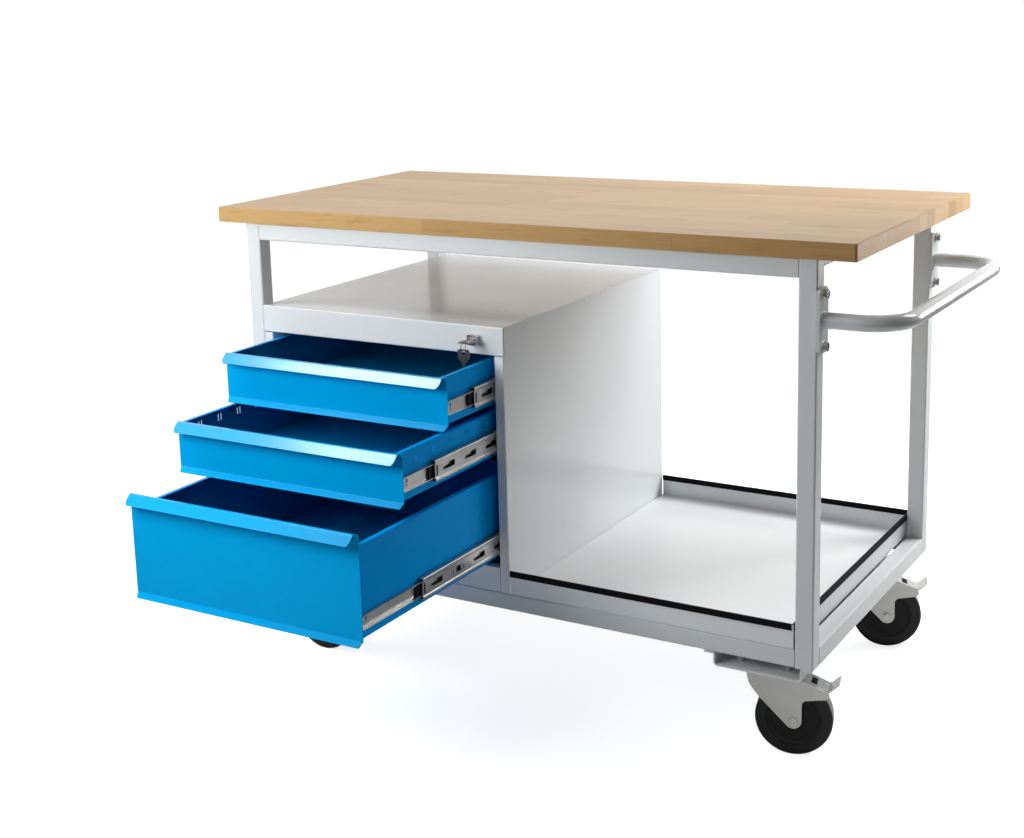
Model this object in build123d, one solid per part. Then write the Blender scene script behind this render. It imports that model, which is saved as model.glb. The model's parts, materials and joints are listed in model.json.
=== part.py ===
from build123d import *
import os

os.makedirs("parts", exist_ok=True)

# Millimetres. Origin on the floor under the middle of the worktop.
# X runs to the push handle, -Y is the drawer side, Z is up.

# Worktop
top_length = 1200.0
top_depth = 620.0
top_thick = 27.0
bench_height = 850.0
top_corner = 4.0
top_round = 2.5

# Square tube frame
tube = 30.0
tube_wall = 2.0
tube_round = 3.0
tube_inner_round = 1.0
end_overhang = 60.0
front_overhang = 5.0
end_tie_height = 15.0

# Hat sections that carry the casters
hat_sheet = 3.0
hat_drop = 23.0
hat_web = 148.0
hat_flange = 16.0
hat_bend = 4.0
hat_x = 448.0

# Casters
caster_height = 155.0
wheel_diameter = 125.0
wheel_width = 32.0
tyre_depth = 17.0
tyre_round = 6.0
hub_recess = 2.0
fork_gap = 38.0
fork_sheet = 3.0
hub_play = 0.5
axle_diameter = 10.0
axle_play = 0.06
axle_hole_play = 0.1
axle_head_across = 13.0
axle_head_height = 6.4
boss_radius = 13.5
trail = 37.0
caster_inset = 65.0
fixed_x = -452.0
front_swivel_turn = 14.0
back_swivel_turn = 20.0
plate_length = 105.0
plate_width = 85.0
plate_sheet = 3.0
plate_holes_x = 80.0
plate_holes_y = 60.0
plate_corner = 8.0
plate_bolt = 8.0
bolt_play = 0.4
bolt_head_across = 13.0
bolt_head_height = 4.5
bolt_nut_height = 6.5
bolt_end = 3.0
race_diameter = 64.0
race_height = 5.5
swivel_gap = 0.3
king_pin = 12.0
king_head = 22.0
king_head_height = 5.0
hub_boss = 13.0
hub_boss_foot = 15.0
hub_ring = 6.0
hub_ring_slope = 2.0
hub_edge = 0.5

# Swivel fork, in its own side view: X back from the pivot, Z over the floor
crown_back = 36.0
crown_front = 27.0
fork_back = 38.0
waist_x = 34.0
waist_z = 122.0
elbow_x = 18.0
elbow_z = 99.0
arm_rise_z = 90.0
arm_root_x = 58.5
arm_root_z = 98.5
arm_under_x = 86.0
arm_under_z = 103.0
arm_tip_x = 93.0
arm_tip_z = 107.0
arm_nose_x = 92.0
arm_nose_z = 115.0
shoulder_x = 40.0
shoulder_z = 136.0
neck_x = 33.0
neck_z = 140.0
fork_front = 28.0
fixed_fork_half = 40.0

# Brake pedal, in the fork's own side view
pedal_sheet = 2.5
pedal_side_play = 1.0
pedal_pin = 6.0
pedal_pin_x = 42.0
pedal_pin_z = 131.0
pedal_pin_play = 0.08
pedal_lug = 4.5
pedal_slot_length = 22.0
pedal_slot_width = 10.0
pedal_slot_x = 68.0
pedal_slot_z = 124.0
pedal_slot_tilt = 20.5
pedal_start_x = 45.0
pedal_start_z = 134.0
pedal_low_x = 93.0
pedal_low_z = 116.0
pedal_end_x = 108.0
pedal_end_z = 130.0
pedal_bend = 5.0
pedal_arm_x = 49.0
pedal_arm_z = 133.0

# Cabinet
cabinet_width = 507.0
cabinet_sheet = 1.5
stile = 18.0
stile_return = 35.0
back_flange = 20.0
header = 49.0
header_return = 15.0
sill = 45.0
sill_return = 15.0
seam = 0.8
post_width = 40.0
post_inset = 28.0

# Drawers, from the top down
drawer_step = 91.0
drawer_steps = (1, 1, 2)
drawer_gap = 3.5
top_gap = 4.5
front_side_gap = 6.0
front_sheet = 1.5
front_bend = 2.0
grip_flat = 6.0
grip_slope = 14.0
grip_inset = 5.0
grip_corner = 8.0
grip_root = 6.0
toe = 8.0
toe_inset = 2.0
toe_corner = 6.0
toe_root = 1.5
tub_depth = 520.0
tub_sheet = 1.2
tub_rim = 9.0
tub_bend = 2.0
tub_back_drop = 16.0
rim_drop = (1.0, 1.0, 22.0)
drawer_open = (136.0, 267.0, 389.0)
middle_open = (76.0, 198.5, 246.5)
slot_width = 2.0
slot_height = 12.0
slot_pitch = 50.0
slot_pair = 7.0
slot_first = 45.0
slot_count = 9
slot_under_rim = 10.0

# Slides
slide_length = 500.0
slide_thick = 12.5
slide_sheet = 1.3
slide_rise = 37.0
slide_set_back = 3.0
middle_set_back = 13.0
drawer_member = 23.8
member_gap = 0.6
ball_gap = 4.8
drawer_flange = 7.5
web_gap = 0.8
middle_flange_gap = 0.9
cabinet_flange_gap = 4.0
slide_bend = 1.8
cage_length = 22.0
cage_lead = 11.0
cage_gap = 0.5
strip_length = 200.0
strip_set_back = 3.0
race_height = 5.0
race_bulge = 1.2
pocket_first = 40.5
pocket_step = 65.0
pocket_count = 6
pocket_length = 34.0
pocket_tall = 9.8
pocket_short = 6.3
pocket_low = -4.4
square_long = 13.0
square_tall = 10.5
thin_long = 2.2
thin_tall = 7.5
thin_gap = 16.2
hook_place = 5.5
hook_tall = 17.0
hook_long = 4.5

# Lock and keys
lock_inset = 54.0
lock_up = 26.0
lock_size = 18.0
lock_proud = 12.0
lock_barrel = 15.0
lock_barrel_length = 19.0
lock_play = 0.3
plug_diameter = 11.0
plug_play = 0.08
plug_proud = 1.0
cam_length = 36.0
cam_width = 12.0
cam_sheet = 2.0
key_sheet = 2.0
key_blade = 7.0
key_blade_length = 22.0
key_slot_play = 0.15
key_bow = 22.0
key_corner = 2.5
key_hole = 8.6
key_rim = 1.6
ring_radius = 7.5
ring_wire = 0.6
ring_rest = 0.4
spare_length = 36.0

# Tray
tray_sheet = 1.5
tray_height = 40.0
tray_gap = 2.0
tray_bend = 2.0
trim_height = 10.0
trim_wall = 1.6

# Push handle
handle_tube = 25.0
handle_wall = 2.0
handle_reach = 121.0
handle_bend = 65.0
handle_drop = 120.0
handle_plate_height = 100.0
handle_plate_width = 38.0
handle_plate = 5.0
handle_plate_corner = 12.0
handle_bolt_head = 5.3
handle_bolt_tail = 8.0
handle_bolt_span = 80.0
handle_bolt = 8.0
washer_diameter = 16.0
washer_height = 1.6

# Levels and faces that several pieces share
rail_low = caster_height + hat_drop
rail_high = rail_low + tube
under_top = bench_height - top_thick
leg_out = top_length / 2 - end_overhang
leg_in = leg_out - tube
frame_front = -(top_depth / 2 - front_overhang)
frame_back = -frame_front
rail_in = frame_back - tube
handle_height = bench_height - handle_drop
caster_y = frame_back - caster_inset
cabinet_left = -leg_in
cabinet_right = cabinet_left + cabinet_width
lock_x = cabinet_right - lock_inset
opening_left = cabinet_left + stile
opening_right = cabinet_right - stile
opening_low = rail_high + sill
opening_high = opening_low + drawer_gap + drawer_step * sum(drawer_steps) + top_gap
cabinet_high = opening_high + header
drawer_mid = (opening_left + opening_right) / 2
tub_width = opening_right - opening_left - 2 * slide_thick
front_width = opening_right - opening_left - 2 * front_side_gap
wheel_radius = wheel_diameter / 2
fork_side = fork_gap / 2
lock_z = opening_high + lock_up
slide_front = frame_front + slide_set_back
middle_front = slide_front + middle_set_back
middle_length = slide_length - middle_set_back
post_y = slide_front + slide_length - post_inset
middle_member = drawer_member + 2 * (ball_gap + slide_sheet)
cabinet_member = middle_member + 2 * (member_gap + slide_sheet)


def box(x0, x1, y0, y1, z0, z1):
    middle = Pos((x0 + x1) / 2, (y0 + y1) / 2, (z0 + z1) / 2)
    return middle * Box(x1 - x0, y1 - y0, z1 - z0)


def rod(radius, start, end, direction):
    along = Plane(origin=start, z_dir=direction)
    return extrude(along * Circle(radius), amount=end)


def hexagon(across, start, height, direction):
    along = Plane(origin=start, z_dir=direction)
    return extrude(along * RegularPolygon(across / 2, 6, major_radius=False), amount=height)


def sheet_section(points, bend, thick, side):
    middle = FilletPolyline(*points, radius=bend)
    return make_face(offset(middle, amount=thick, side=side))


def tube_bar(start, direction, length, width, height):
    along = Plane(origin=start, z_dir=direction, x_dir=(0, 1, 0) if direction[1] == 0 else (1, 0, 0))
    outer = RectangleRounded(width, height, tube_round)
    inner = RectangleRounded(width - 2 * tube_wall, height - 2 * tube_wall, tube_inner_round)
    return extrude(along * (outer - inner), amount=length)


def save(shape, name):
    export_step(shape, "parts/" + name + ".step")


def save_group(shapes, name):
    export_step(Compound(children=list(shapes)), "parts/" + name + ".step")


# Frame
def worktop():
    slab = box(-top_length / 2, top_length / 2, -top_depth / 2, top_depth / 2, under_top, bench_height)
    slab = fillet(slab.edges().filter_by(Axis.Z), top_corner)
    return fillet(slab.faces().sort_by(Axis.Z)[-1].edges(), top_round)


def leg(side, end):
    middle = (side * (leg_out - tube / 2), end * (frame_back - tube / 2), rail_low)
    bar = tube_bar(middle, (0, 0, 1), under_top - rail_low, tube, tube)
    if side < 0:
        return bar
    for level in (-1, 1):
        height = handle_height + level * handle_bolt_span / 2
        place = (leg_out - tube / 2, middle[1], height)
        bar -= rod(handle_bolt / 2 + bolt_play / 2, place, tube, (1, 0, 0))
    return bar


def long_rail(end, low):
    middle = (-leg_in, end * (frame_back - tube / 2), low + tube / 2)
    return tube_bar(middle, (1, 0, 0), 2 * leg_in, tube, tube)


def end_rail(side, low, height):
    middle = (side * (leg_out - tube / 2), -rail_in, low + height / 2)
    return tube_bar(middle, (0, 1, 0), 2 * rail_in, tube, height)


def hat_section(side):
    half = hat_web / 2 - hat_sheet
    out = hat_web / 2 + hat_flange
    floor = caster_height + hat_sheet
    points = [(-out, rail_low), (-half, rail_low), (-half, floor)]
    points += [(half, floor), (half, rail_low), (out, rail_low)]
    face = sheet_section(points, hat_bend, hat_sheet, Side.RIGHT)
    along = Plane(origin=(side * hat_x, frame_back, 0), x_dir=(1, 0, 0), z_dir=(0, -1, 0))
    bar = extrude(along * face, amount=2 * frame_back)
    for end in (-1, 1):
        for x, y in plate_bolt_places(side, end):
            bar -= rod((plate_bolt + bolt_play) / 2, (x, y, caster_height - 1), hat_sheet + 2, (0, 0, 1))
    return bar


# Casters
def plate_bolt_places(side, end):
    middle = hat_x if side > 0 else fixed_x
    return [
        (middle + x * plate_holes_x / 2, end * caster_y + y * plate_holes_y / 2)
        for x in (-1, 1)
        for y in (-1, 1)
    ]


def top_plate():
    low = caster_height - plate_sheet
    outline = RectangleRounded(plate_length, plate_width, plate_corner)
    plate = extrude(Pos(0, 0, low) * outline, amount=plate_sheet)
    for x in (-1, 1):
        for y in (-1, 1):
            place = (x * plate_holes_x / 2, y * plate_holes_y / 2, low - 1)
            plate -= rod((plate_bolt + bolt_play) / 2, place, plate_sheet + 2, (0, 0, 1))
    return plate


race_low = caster_height - plate_sheet - race_height
crown_high = race_low - swivel_gap
crown_low = crown_high - fork_sheet
king_high = crown_low - swivel_gap


def swivel_plate():
    race_top = caster_height - plate_sheet
    race = rod(race_diameter / 2, (0, 0, race_low), race_height, (0, 0, 1))
    pin = rod(king_pin / 2, (0, 0, king_high), race_top - king_high, (0, 0, 1))
    head = rod(king_head / 2, (0, 0, king_high - king_head_height), king_head_height, (0, 0, 1))
    return top_plate() + race + pin + head


def cheek_outline():
    heel = (-fork_back, crown_high)
    elbow = (-elbow_x, elbow_z)
    back = Spline(heel, (-waist_x, waist_z), elbow, tangents=[(0.05, -1), (0.7, -0.9)])
    boss_low = (trail, wheel_radius - boss_radius)
    boss_right = (trail + boss_radius, wheel_radius)
    down = Line(back @ 1, (trail - boss_radius * 0.76, wheel_radius - boss_radius * 0.65))
    low_left = (trail - boss_radius * 0.22, wheel_radius - boss_radius * 0.975)
    round_1 = ThreePointArc(down @ 1, low_left, boss_low)
    low_right = (trail + boss_radius * 0.707, wheel_radius - boss_radius * 0.707)
    round_2 = ThreePointArc(boss_low, low_right, boss_right)
    up = Line(boss_right, (trail + boss_radius, arm_rise_z))
    inner = TangentArc(up @ 1, (arm_root_x, arm_root_z), tangent=(0, 1))
    arm_under = (arm_under_x, arm_under_z)
    arm_nose = (arm_nose_x, arm_nose_z)
    under = Line(inner @ 1, arm_under)
    tip = ThreePointArc(arm_under, (arm_tip_x, arm_tip_z), arm_nose)
    upper = Line(arm_nose, (shoulder_x, shoulder_z))
    shoulder = ThreePointArc(upper @ 1, (neck_x, neck_z), (fork_front, crown_high))
    top = Line(shoulder @ 1, heel)
    return make_face([back, down, round_1, round_2, up, inner, under, tip, upper, shoulder, top])


def cheek(face, side):
    start = side * fork_side if side > 0 else -fork_side - fork_sheet
    along = Plane(origin=(0, start, 0), x_dir=(1, 0, 0), z_dir=(0, -1, 0))
    return extrude(along * face, amount=-fork_sheet)


def swivel_fork():
    wide = fork_side + fork_sheet
    fork = box(-crown_back, crown_front, -wide, wide, crown_low, crown_high)
    outline = cheek_outline()
    for side in (-1, 1):
        fork += cheek(outline, side)
    fork -= rod(king_pin / 2 + swivel_gap, (0, 0, crown_low - 1), fork_sheet + 2, (0, 0, 1))
    axle_hole = axle_diameter / 2 + axle_hole_play
    fork -= rod(axle_hole, (trail, -wide - 1, wheel_radius), 2 * wide + 2, (0, 1, 0))
    pin_hole = pedal_pin / 2 + pedal_pin_play
    return fork - rod(pin_hole, (pedal_pin_x, -wide - 1, pedal_pin_z), 2 * wide + 2, (0, 1, 0))


def fixed_fork():
    plate = top_plate()
    low = caster_height - plate_sheet
    left = Line((-fixed_fork_half, low), (-boss_radius * 0.97, wheel_radius - boss_radius * 0.25))
    boss = ThreePointArc(left @ 1, (0, wheel_radius - boss_radius), (-(left @ 1).X, (left @ 1).Y))
    right = Line(boss @ 1, (fixed_fork_half, low))
    outline = make_face([left, boss, right, Line(right @ 1, left @ 0)])
    wide = fork_side + fork_sheet
    for side in (-1, 1):
        plate += cheek(outline, side)
    hole = axle_diameter / 2 + axle_hole_play
    return plate - rod(hole, (0, -wide - 1, wheel_radius), 2 * wide + 2, (0, 1, 0))


def axle(x):
    wide = fork_side + fork_sheet
    start = (x, -wide - axle_head_height, wheel_radius)
    shank = rod(axle_diameter / 2, start, 2 * wide + 2 * axle_head_height + 2, (0, 1, 0))
    head = hexagon(axle_head_across, start, axle_head_height, (0, 1, 0))
    nut = hexagon(axle_head_across, (x, wide, wheel_radius), axle_head_height, (0, 1, 0))
    return shank + head + nut


def tyre():
    inner = wheel_radius - tyre_depth
    half = wheel_width / 2
    face = Pos(wheel_radius - tyre_depth / 2, 0) * Rectangle(tyre_depth, 2 * half)
    outer = face.vertices().group_by(Axis.X)[-1]
    face = fillet(outer, tyre_round)
    return Pos(0, 0, wheel_radius) * revolve(face, axis=Axis.Y)


def hub():
    rim = wheel_radius - tyre_depth
    half = wheel_width / 2
    long = fork_side - hub_play
    bore = axle_diameter / 2 + axle_play
    web = half - hub_recess
    edge = half - hub_edge
    points = [(bore, -long), (hub_boss, -long), (hub_boss_foot, -web), (rim - hub_ring, -web)]
    points += [(rim - hub_ring + hub_ring_slope, -edge), (rim, -edge)]
    points += [(x, -y) for x, y in reversed(points)]
    face = make_face(Polyline(*points, close=True))
    return Pos(0, 0, wheel_radius) * revolve(face, axis=Axis.Y)


def pedal():
    half = fork_side - pedal_side_play
    points = [(pedal_start_x, pedal_start_z), (pedal_low_x, pedal_low_z), (pedal_end_x, pedal_end_z)]
    face = sheet_section(points, pedal_bend, pedal_sheet, Side.RIGHT)
    along = Plane(origin=(0, half, 0), x_dir=(1, 0, 0), z_dir=(0, -1, 0))
    plate = extrude(along * face, amount=2 * half)
    slot = Rot(0, pedal_slot_tilt, 0) * Box(pedal_slot_width, pedal_slot_length, 8 * pedal_sheet)
    plate -= Pos(pedal_slot_x, 0, pedal_slot_z) * slot
    for side in (-1, 1):
        start = side * half if side < 0 else half - pedal_sheet
        lug = rod(pedal_lug, (pedal_pin_x, start, pedal_pin_z), pedal_sheet, (0, 1, 0))
        arm = box(pedal_pin_x, pedal_arm_x, start, start + pedal_sheet, pedal_pin_z - 1, pedal_arm_z)
        plate += lug + arm
    wide = fork_side + fork_sheet
    return plate + rod(pedal_pin / 2, (pedal_pin_x, -wide, pedal_pin_z), 2 * wide, (0, 1, 0))


def plate_bolt_at(x, y):
    low = caster_height - plate_sheet
    high = caster_height + hat_sheet
    shank = rod(plate_bolt / 2, (x, y, low), high - low + bolt_nut_height + bolt_end, (0, 0, 1))
    head = hexagon(bolt_head_across, (x, y, low - bolt_head_height), bolt_head_height, (0, 0, 1))
    nut = hexagon(bolt_head_across, (x, y, high), bolt_nut_height, (0, 0, 1))
    return shank + head + nut


def swivel_place(end):
    turn = front_swivel_turn if end < 0 else back_swivel_turn
    return Pos(hat_x, end * caster_y, 0) * Rot(0, 0, turn)


# Cabinet
def cabinet_side(side):
    outer = cabinet_left if side < 0 else cabinet_right
    turn = -side
    inner = outer + turn * cabinet_sheet
    points = [(outer + turn * stile, frame_front + stile_return), (outer + turn * stile, frame_front)]
    points += [(outer, frame_front), (outer, frame_back), (outer + turn * back_flange, frame_back)]
    face = sheet_section(points, 2.0, cabinet_sheet, Side.LEFT if side > 0 else Side.RIGHT)
    panel = extrude(Pos(0, 0, rail_high) * face, amount=cabinet_high - cabinet_sheet - rail_high)
    notch_low = opening_high - seam
    low_x = min(inner, inner + turn * stile)
    high_x = max(inner, inner + turn * stile)
    panel -= box(low_x, high_x, frame_front - 1, frame_front + stile_return + 1, notch_low, cabinet_high)
    edge_low = min(outer, inner) - 1
    edge_high = max(outer, inner) + 1
    return panel - box(edge_low, edge_high, frame_front - 1, frame_front + 4, notch_low, cabinet_high)


def cabinet_top():
    points = [(frame_front + header_return, opening_high), (frame_front, opening_high)]
    points += [(frame_front, cabinet_high), (frame_back, cabinet_high)]
    face = sheet_section(points, 2.5, cabinet_sheet, Side.RIGHT)
    along = Plane(origin=(cabinet_left, 0, 0), x_dir=(0, 1, 0), z_dir=(1, 0, 0))
    panel = extrude(along * face, amount=cabinet_width)
    wall = cabinet_sheet + seam
    under = cabinet_high - cabinet_sheet
    start = frame_front + 3
    end = frame_front + stile_return
    for low in (cabinet_left - 1, cabinet_right - wall):
        panel -= box(low, low + wall + 1, start, end, opening_high - 1, under)
    hole = (lock_x, frame_front - 1, lock_z)
    return panel - rod(lock_barrel / 2 + lock_play, hole, cabinet_sheet + 2, (0, 1, 0))


def cabinet_back():
    low = cabinet_left + cabinet_sheet + seam
    high = cabinet_right - cabinet_sheet - seam
    rear = frame_back - cabinet_sheet
    top = cabinet_high - cabinet_sheet
    return box(low, high, rear - cabinet_sheet, rear, rail_high + cabinet_sheet, top)


def cabinet_bottom():
    low = cabinet_left + cabinet_sheet + seam
    high = cabinet_right - cabinet_sheet - seam
    start = frame_front + stile_return + seam
    rear = frame_back - cabinet_sheet
    return box(low, high, start, rear, rail_high, rail_high + cabinet_sheet)


def cabinet_sill():
    points = [(frame_front + stile_return, rail_high), (frame_front, rail_high)]
    points += [(frame_front, opening_low), (frame_front + sill_return, opening_low)]
    face = sheet_section(points, 2.5, cabinet_sheet, Side.RIGHT)
    along = Plane(origin=(opening_left, 0, 0), x_dir=(0, 1, 0), z_dir=(1, 0, 0))
    return extrude(along * face, amount=opening_right - opening_left)


def slide_post(side):
    wall = (cabinet_left if side < 0 else cabinet_right) - side * cabinet_sheet
    face_x = opening_left if side < 0 else opening_right
    low = post_y - post_width / 2
    points = [(wall, low), (face_x, low), (face_x, low + post_width), (wall, low + post_width)]
    face = sheet_section(points, 2.0, cabinet_sheet, Side.LEFT if side < 0 else Side.RIGHT)
    low_z = rail_high + cabinet_sheet
    return extrude(Pos(0, 0, low_z) * face, amount=cabinet_high - cabinet_sheet - low_z)


# Slides. Each section is drawn outwards from the tub, then set on one side.
def rolled(points, side, front, long):
    face = sheet_section(points, slide_bend, slide_sheet, side)
    along = Plane(origin=(0, front + long, 0), x_dir=(1, 0, 0), z_dir=(0, -1, 0))
    return extrude(along * face, amount=long)


def channel(height, web, tip, front):
    half = height / 2
    points = [(tip, -half), (web, -half), (web, half), (tip, half)]
    return rolled(points, Side.RIGHT if tip > web else Side.LEFT, front, slide_length)


def web_hole(shape, y, z, height, long, web):
    return shape - Pos(web, y, z) * Box(4 * slide_sheet, long, height)


middle_web = drawer_flange + web_gap + slide_sheet


def drawer_channel(front):
    bar = channel(drawer_member, 0, drawer_flange, front)
    bar = web_hole(bar, front + 13, 2.5, 6, 5, 0)
    return bar - rod(1.6, (-3, front + 13, -4.5), 8, (1, 0, 0))


def pocket(bar, place):
    bar = web_hole(bar, place, pocket_low + pocket_short / 2, pocket_short, pocket_length, middle_web)
    place += pocket_length / 4
    return web_hole(bar, place, pocket_low + pocket_tall / 2, pocket_tall, pocket_length / 2, middle_web)


def square_pocket(bar, place):
    bar = web_hole(bar, place, 0, square_tall, square_long, middle_web)
    for end in (-thin_gap, thin_gap):
        bar = web_hole(bar, place + end, 0, thin_tall, thin_long, middle_web)
    return bar


def middle_channel(front, index):
    half = middle_member / 2
    out = middle_web + race_bulge
    race = [(middle_flange_gap + slide_sheet, -half), (out, -half), (out, -half + race_height)]
    race.append((middle_web, -half + race_height + race_bulge))
    points = race + [(x, -z) for x, z in reversed(race)]
    bar = rolled(points, Side.LEFT, front, middle_length)
    bar = web_hole(bar, front + hook_place, 0, hook_tall, hook_long, middle_web)
    for number in range(pocket_count):
        place = front + pocket_first + number * pocket_step
        bar = square_pocket(bar, place) if (index, number) == (2, 1) else pocket(bar, place)
    return bar


def cabinet_channel(front):
    return channel(cabinet_member, slide_thick, cabinet_flange_gap, front)


def cage(front):
    half = drawer_member / 2 - slide_sheet - cage_gap
    high = middle_web - slide_sheet
    block = box(slide_sheet + cage_gap, high, front - cage_lead, front + cage_length, -half, half)
    return block - box(drawer_flange - 2, high + 1, front - cage_lead - 1, front, -half - 1, half + 1)


def ball_strip(front, end):
    start = front + strip_set_back
    low = drawer_member / 2 + cage_gap
    high = middle_member / 2 - slide_sheet
    tall = (high - low) / 2
    block = box(middle_flange_gap + slide_sheet, drawer_flange, start, start + strip_length, -tall, tall)
    return Pos(0, 0, end * (low + high) / 2) * block


def both_sides(shape, level):
    right = Pos(drawer_mid + tub_width / 2, 0, level) * shape
    left = Pos(drawer_mid - tub_width / 2, 0, level) * mirror(shape, about=Plane.YZ)
    return [left, right]


# Drawers
def drawer_low(index):
    return opening_low + drawer_gap + drawer_step * sum(drawer_steps[index + 1:])


def drawer_high(index):
    return drawer_low(index) + drawer_step * drawer_steps[index] - drawer_gap


def front_panel(index):
    low = drawer_low(index)
    high = drawer_high(index)
    face_y = frame_front - drawer_open[index]
    reach = grip_flat + grip_slope
    bend_z = high - front_sheet
    points = [(face_y - toe, low), (face_y, low + toe), (face_y, bend_z)]
    points += [(face_y - grip_flat, bend_z), (face_y - reach, bend_z - grip_slope)]
    face = sheet_section(points, front_bend, front_sheet, Side.RIGHT)
    along = Plane(origin=(drawer_mid - front_width / 2, 0, 0), x_dir=(0, 1, 0), z_dir=(1, 0, 0))
    panel = extrude(along * face, amount=front_width)
    middle = (low + high) / 2
    reach += front_sheet
    panel = trim_ends(panel, face_y, reach, grip_inset, grip_corner, grip_root, middle, high + 5)
    return trim_ends(panel, face_y, toe, toe_inset, toe_corner, toe_root, low - 5, middle)


def trim_ends(panel, face_y, reach, inset, corner, root, low, high):
    wide = front_width / 2 - inset
    edge = face_y - reach
    far = front_width
    turn = face_y - root - 0.2
    left = FilletPolyline((-far, face_y), (-wide, face_y), (-wide, turn), radius=root)
    tip = FilletPolyline((-wide, turn), (-wide, edge), (wide, edge), (wide, turn), radius=corner)
    right = FilletPolyline((wide, turn), (wide, face_y), (far, face_y), radius=root)
    around = Polyline((far, face_y), (far, edge - far), (-far, edge - far), (-far, face_y))
    cut = extrude(Pos(drawer_mid, 0, low) * make_face([left, tip, right, around]), amount=high - low)
    return panel - cut


def tub(index):
    low = drawer_low(index) + toe
    high = drawer_high(index) - rim_drop[index]
    start = frame_front - drawer_open[index] + front_sheet
    half = tub_width / 2
    rim = half - tub_rim
    points = [(-rim, high), (-half, high), (-half, low), (half, low), (half, high), (rim, high)]
    face = sheet_section(points, tub_bend, tub_sheet, Side.LEFT)
    along = Plane(origin=(drawer_mid, start + tub_depth, 0), x_dir=(1, 0, 0), z_dir=(0, -1, 0))
    shell = extrude(along * face, amount=tub_depth)
    left = drawer_mid - half + tub_sheet
    right = drawer_mid + half - tub_sheet
    floor = low + tub_sheet
    shell += box(left, right, start + tub_depth - tub_sheet, start + tub_depth, floor, high - tub_back_drop)
    shell += box(left, right, start, start + tub_sheet, floor, high - tub_back_drop)
    if index != 1:
        return shell
    return cut_slots(shell, start, high)


def cut_slots(shell, start, high):
    left = drawer_mid - tub_width / 2
    right = drawer_mid + tub_width / 2
    upper = high - slot_under_rim
    lower = upper - slot_height
    for number in range(slot_count):
        for step in (-0.5, 0.5):
            y0 = start + slot_first + number * slot_pitch + step * slot_pair - slot_width / 2
            y1 = y0 + slot_width
            shell -= box(left - 1, left + 4, y0, y1, lower, upper)
            shell -= box(right - 4, right + 1, y0, y1, lower, upper)
    return shell


# Lock and keys
lock_face = frame_front - lock_proud
barrel_end = frame_front + lock_barrel_length
plug_front = lock_face - plug_proud
bow_front = lock_face - 4.0
bow_middle = bow_front - key_bow / 2
bow_end = bow_front - key_bow
hole_y = bow_end + key_rim + key_hole / 2
ring_y = bow_end + key_rim / 2
ring_z = lock_z + key_sheet / 2 + ring_rest + ring_wire - ring_radius


def lock_housing():
    half = lock_size / 2
    body = box(lock_x - half, lock_x + half, lock_face, frame_front, lock_z - half, lock_z + half)
    body = fillet(body.edges().filter_by(Axis.Y), 3)
    body += rod(lock_barrel / 2, (lock_x, frame_front, lock_z), lock_barrel_length, (0, 1, 0))
    bore = plug_diameter / 2 + plug_play
    return body - rod(bore, (lock_x, lock_face - 1, lock_z), lock_proud + lock_barrel_length + 2, (0, 1, 0))


def lock_cylinder():
    long = barrel_end + swivel_gap + cam_sheet - plug_front
    plug = rod(plug_diameter / 2, (lock_x, plug_front, lock_z), long, (0, 1, 0))
    start = barrel_end + swivel_gap
    half = cam_width / 2
    tongue = box(lock_x, lock_x + cam_length, start, start + cam_sheet, lock_z - half, lock_z + half)
    tongue += rod(plug_diameter / 2 + 2, (lock_x, start, lock_z), cam_sheet, (0, 1, 0))
    wide = key_blade / 2 + key_slot_play
    thick = key_sheet / 2 + key_slot_play
    end = plug_front + key_blade_length
    slot = box(lock_x - wide, lock_x + wide, plug_front - 1, end, lock_z - thick, lock_z + thick)
    return plug + tongue - slot


def key():
    half = key_sheet / 2
    wide = key_blade / 2
    outline = RectangleRounded(key_bow, key_bow, key_corner)
    bow = extrude(Pos(lock_x, bow_middle, lock_z - half) * outline, amount=key_sheet)
    end = plug_front + key_blade_length - 1
    bow += box(lock_x - wide, lock_x + wide, bow_front - 2, end, lock_z - half, lock_z + half)
    return bow - rod(key_hole / 2, (lock_x, hole_y, lock_z - 3), 6, (0, 0, 1))


def key_ring():
    circle = Plane(origin=(lock_x, ring_y, ring_z), z_dir=(1, 0, 0), x_dir=(0, 1, 0))
    return circle * Torus(ring_radius, ring_wire)


def spare_key():
    half = key_sheet / 2
    hole_z = ring_z - ring_radius + ring_wire + ring_rest - key_hole / 2
    top = hole_z + key_hole / 2 + key_rim
    along = Plane(origin=(lock_x, ring_y + half, 0), x_dir=(1, 0, 0), z_dir=(0, -1, 0))
    tall = key_bow * 0.8
    shape = Pos(0, top - tall / 2) * RectangleRounded(key_bow, tall, key_corner)
    tip = top - spare_length
    blade = [(-key_blade, top - tall + 1), (-key_blade, top - tall - 3), (-key_blade / 2, top - tall - 5)]
    blade += [(-key_blade / 4, tip), (key_blade / 4, tip), (key_blade / 2, top - tall - 5)]
    blade += [(key_blade, top - tall - 3), (key_blade, top - tall + 1)]
    shape += make_face(Polyline(*blade, close=True))
    body = extrude(along * shape, amount=key_sheet)
    return body - rod(key_hole / 2, (lock_x, ring_y - 3, hole_z), 6, (0, 1, 0))


# Tray
tray_left = cabinet_right + tray_gap
tray_right = leg_in - tray_gap
tray_high = rail_high + tray_height


def tray():
    points = [(frame_front, tray_high), (frame_front, rail_high)]
    points += [(frame_back, rail_high), (frame_back, tray_high)]
    face = sheet_section(points, tray_bend, tray_sheet, Side.LEFT)
    along = Plane(origin=(tray_left, 0, 0), x_dir=(0, 1, 0), z_dir=(1, 0, 0))
    pan = extrude(along * face, amount=tray_right - tray_left)
    front = frame_front + tray_sheet
    back = frame_back - tray_sheet
    return pan + box(tray_right - tray_sheet, tray_right, front, back, rail_high, tray_high)


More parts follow.
